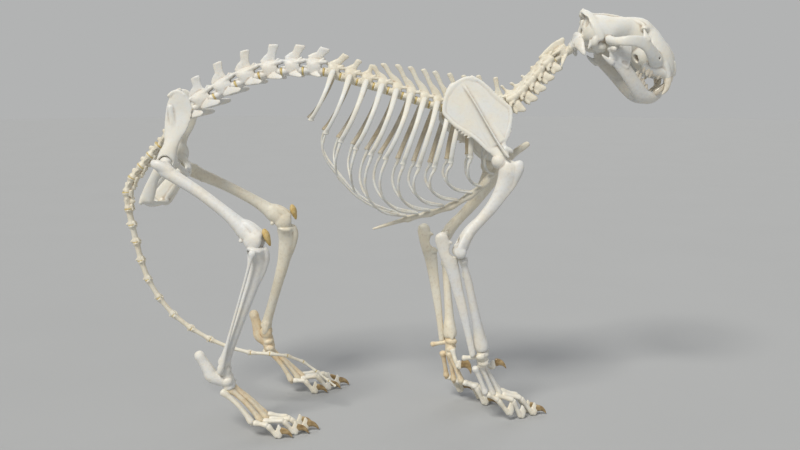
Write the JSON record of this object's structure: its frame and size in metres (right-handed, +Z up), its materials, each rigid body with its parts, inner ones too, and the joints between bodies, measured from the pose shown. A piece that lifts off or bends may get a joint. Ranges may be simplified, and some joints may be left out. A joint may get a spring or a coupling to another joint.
{
  "type": "big cat skeleton",
  "caption": "Mounted skeleton of a large cat in a walking pose, standing on its own toes, with the head held forward, the mouth slightly open and the tail hanging in a curve.",
  "frame": {"origin": "centre of the bounding box at floor level, under the middle of the body", "axes": "+X towards the head, +Y to the animal's left, +Z up"},
  "size_m": [1.1028, 0.329, 0.8264],
  "materials": {
    "bone": "dry cleaned bone, matt with a faint sheen",
    "toe_bone": "dry bone stained a warmer tan, with brown horn on the claws"
  },
  "bodies": {
    "root": {"femur_right": "bone", "humerus_right": "bone", "femur_left": "bone", "humerus_left": "bone", "skull": "bone", "jaw": "bone", "atlas": "bone", "axis": "bone", "neck": "bone", "sternum": "bone", "chest_right": "bone", "chest_left": "bone", "lumbar": "bone", "sacrum": "bone", "pelvis": "bone", "tail_1": "bone", "tail_2": "bone", "tail_3": "bone", "tail_4": "bone", "scapula_right": "bone", "radius_right": "bone", "ulna_right": "bone", "carpus_right": "bone", "metacarpus_right": "bone", "fore_digit_1_right": "toe_bone", "tibia_right": "bone", "fibula_right": "bone", "patella_right": "bone", "tarsus_right": "bone", "metatarsus_right": "bone", "scapula_left": "bone", "radius_left": "bone", "ulna_left": "bone", "carpus_left": "bone", "metacarpus_left": "bone", "fore_digit_1_left": "toe_bone", "tibia_left": "bone", "fibula_left": "bone", "patella_left": "bone", "tarsus_left": "bone", "metatarsus_left": "bone", "fore_digit_5_right": "toe_bone", "fore_digit_4_right": "toe_bone", "fore_digit_3_right": "toe_bone", "fore_digit_2_right": "toe_bone", "hind_digit_5_right": "toe_bone", "hind_digit_4_right": "toe_bone", "hind_digit_3_right": "toe_bone", "hind_digit_2_right": "toe_bone", "fore_digit_5_left": "toe_bone", "fore_digit_4_left": "toe_bone", "fore_digit_3_left": "toe_bone", "fore_digit_2_left": "toe_bone", "hind_digit_5_left": "toe_bone", "hind_digit_4_left": "toe_bone", "hind_digit_3_left": "toe_bone", "hind_digit_2_left": "toe_bone"}
  },
  "joints": []
}
